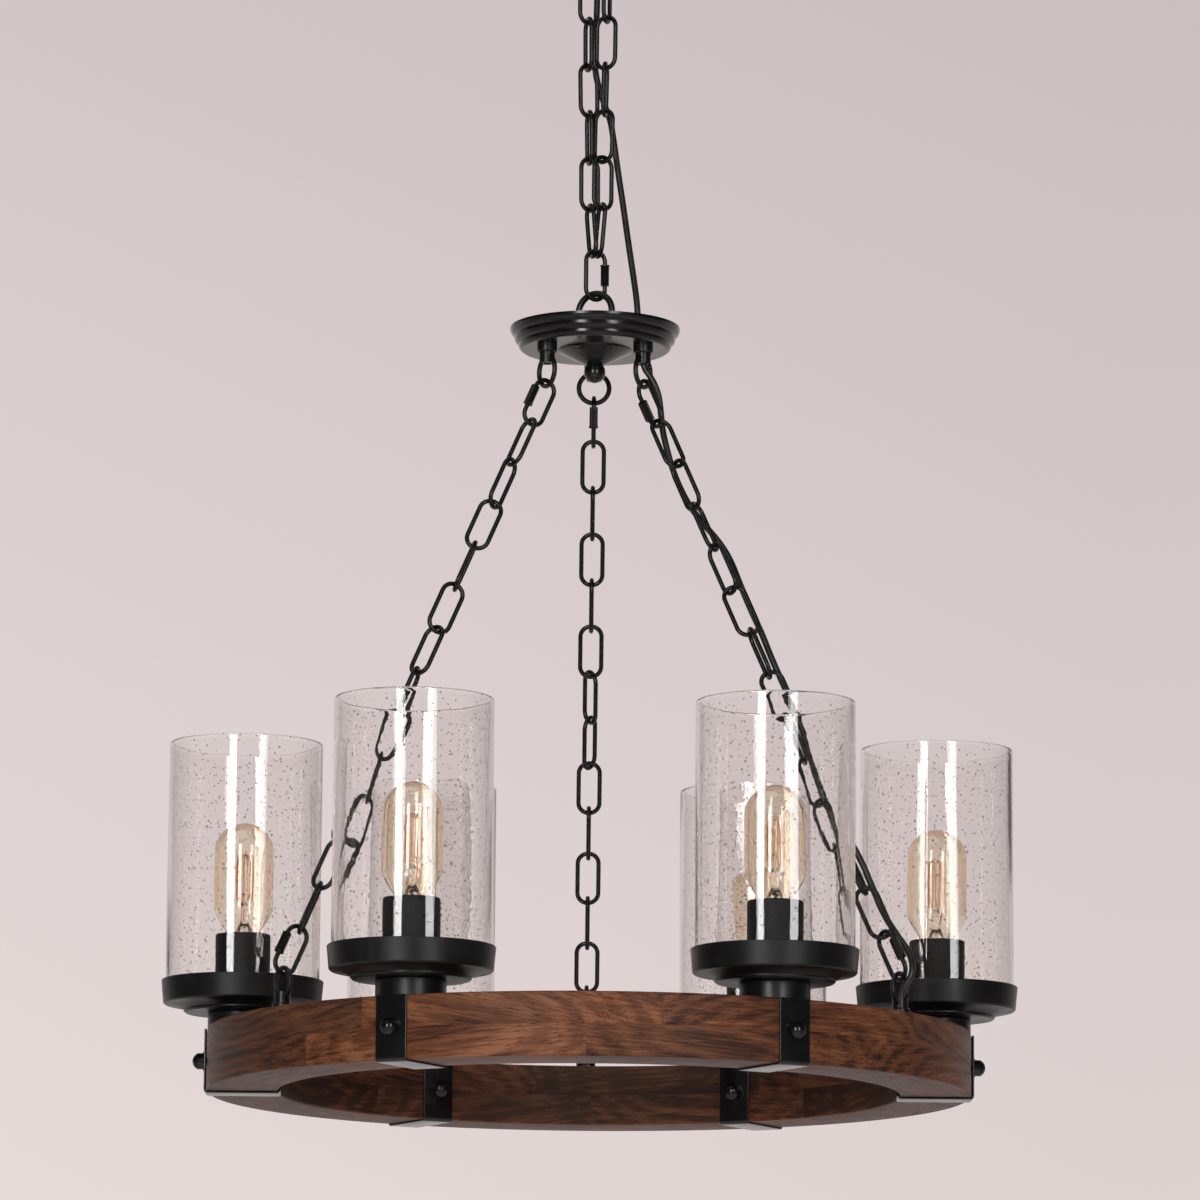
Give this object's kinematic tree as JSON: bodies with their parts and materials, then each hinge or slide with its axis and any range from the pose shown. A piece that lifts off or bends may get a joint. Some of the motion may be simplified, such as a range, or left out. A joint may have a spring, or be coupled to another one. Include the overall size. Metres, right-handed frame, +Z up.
{
  "type": "chandelier",
  "caption": "Round laminated timber rim hung on three chains from a small round hub, with clear glass cylinder shades on black cups round its top.",
  "frame": {"origin": "centre of the two ceiling screws, on the ceiling plane", "axes": "+Z up into the ceiling, -Y towards the front as pictured, +X to the right"},
  "size_m": [0.6524, 0.5816, 1.0088],
  "materials": {
    "black_metal": "satin black powder coat",
    "zinc_plate": "zinc plated",
    "timber": "walnut stain, satin",
    "clear_glass": "clear with seeds",
    "amber_glass": "clear amber",
    "bulb_cap": "plain",
    "cord_sheath": "satin",
    "bush_plastic": "matte",
    "block_plastic": "matte",
    "socket_plastic": "matte"
  },
  "bodies": {
    "ceiling_set": {"ceiling_crossbar": "zinc_plate", "ceiling_canopy": "black_metal", "canopy_threaded_rod": "zinc_plate", "canopy_nuts": "zinc_plate", "canopy_loop": "black_metal", "canopy_cord_bush": "bush_plastic", "canopy_splice_block": "block_plastic"},
    "main_chain": {"main_chain_left": "black_metal", "main_chain_right": "black_metal", "main_screw_link_top": "black_metal", "main_screw_link_hub": "black_metal", "main_screw_link_nuts": "black_metal", "supply_cord_upper": "cord_sheath"},
    "wheel": {"supply_cord_lower": "cord_sheath", "hub_dish": "black_metal", "hub_cover": "black_metal", "hub_cord_bush": "bush_plastic", "hub_loop": "black_metal", "hub_tie_rod": "zinc_plate", "hub_cone": "black_metal", "hub_ball": "black_metal", "hub_nuts": "zinc_plate", "hub_eyes": "black_metal", "hub_splice_block": "block_plastic", "hanging_chain_left": "black_metal", "hanging_chain_right": "black_metal", "hanging_chain_back": "black_metal", "hanging_screw_links": "black_metal", "hanging_screw_link_nuts": "black_metal", "drop_cord": "cord_sheath", "rim_upper_staves": "timber", "rim_lower_staves": "timber", "rim_eyes": "black_metal", "rim_nuts": "zinc_plate", "rim_straps": "black_metal", "strap_screws": "black_metal", "lamp_necks": "black_metal", "lamp_rods": "zinc_plate", "lamp_cups": "black_metal", "socket_bodies": "socket_plastic", "socket_sleeves": "black_metal", "rim_wiring": "cord_sheath"},
    "glass_cylinder_1": {"shade_1": "clear_glass"},
    "bulb_1": {"bulb_1_glass": "amber_glass", "bulb_1_base": "bulb_cap"},
    "glass_cylinder_2": {"shade_2": "clear_glass"},
    "bulb_2": {"bulb_2_glass": "amber_glass", "bulb_2_base": "bulb_cap"},
    "glass_cylinder_3": {"shade_3": "clear_glass"},
    "bulb_3": {"bulb_3_glass": "amber_glass", "bulb_3_base": "bulb_cap"},
    "glass_cylinder_4": {"shade_4": "clear_glass"},
    "bulb_4": {"bulb_4_glass": "amber_glass", "bulb_4_base": "bulb_cap"},
    "glass_cylinder_5": {"shade_5": "clear_glass"},
    "bulb_5": {"bulb_5_glass": "amber_glass", "bulb_5_base": "bulb_cap"},
    "glass_cylinder_6": {"shade_6": "clear_glass"},
    "bulb_6": {"bulb_6_glass": "amber_glass", "bulb_6_base": "bulb_cap"}
  },
  "joints": [
    {"name": "chain_swing", "type": "hinge", "parent": "ceiling_set", "child": "main_chain", "pos_m": [0, 0, -0.0584], "axis": [-0.1736, 0.9848, 0], "range_deg": [-10, 10], "deforming": ["supply_cord_upper"]},
    {"name": "wheel_tilt", "type": "hinge", "parent": "main_chain", "child": "wheel", "pos_m": [0, 0, -0.38358], "axis": [0.8829, -0.4695, 0], "range_deg": [-8, 8], "deforming": ["supply_cord_lower"]},
    {"name": "shade_1_lift", "type": "slide", "parent": "wheel", "child": "glass_cylinder_1", "axis": [0, 0, 1], "range_m": [0, 0.22]},
    {"name": "shade_2_lift", "type": "slide", "parent": "wheel", "child": "glass_cylinder_2", "axis": [0, 0, 1], "range_m": [0, 0.22]},
    {"name": "shade_3_lift", "type": "slide", "parent": "wheel", "child": "glass_cylinder_3", "axis": [0, 0, 1], "range_m": [0, 0.22]},
    {"name": "shade_4_lift", "type": "slide", "parent": "wheel", "child": "glass_cylinder_4", "axis": [0, 0, 1], "range_m": [0, 0.22]},
    {"name": "shade_5_lift", "type": "slide", "parent": "wheel", "child": "glass_cylinder_5", "axis": [0, 0, 1], "range_m": [0, 0.22]},
    {"name": "shade_6_lift", "type": "slide", "parent": "wheel", "child": "glass_cylinder_6", "axis": [0, 0, 1], "range_m": [0, 0.22]},
    {"name": "bulb_1_unscrew", "type": "slide", "parent": "wheel", "child": "bulb_1", "axis": [0, 0, 1], "range_m": [0, 0.025]},
    {"name": "bulb_2_unscrew", "type": "slide", "parent": "wheel", "child": "bulb_2", "axis": [0, 0, 1], "range_m": [0, 0.025]},
    {"name": "bulb_3_unscrew", "type": "slide", "parent": "wheel", "child": "bulb_3", "axis": [0, 0, 1], "range_m": [0, 0.025]},
    {"name": "bulb_4_unscrew", "type": "slide", "parent": "wheel", "child": "bulb_4", "axis": [0, 0, 1], "range_m": [0, 0.025]},
    {"name": "bulb_5_unscrew", "type": "slide", "parent": "wheel", "child": "bulb_5", "axis": [0, 0, 1], "range_m": [0, 0.025]},
    {"name": "bulb_6_unscrew", "type": "slide", "parent": "wheel", "child": "bulb_6", "axis": [0, 0, 1], "range_m": [0, 0.025]}
  ]
}
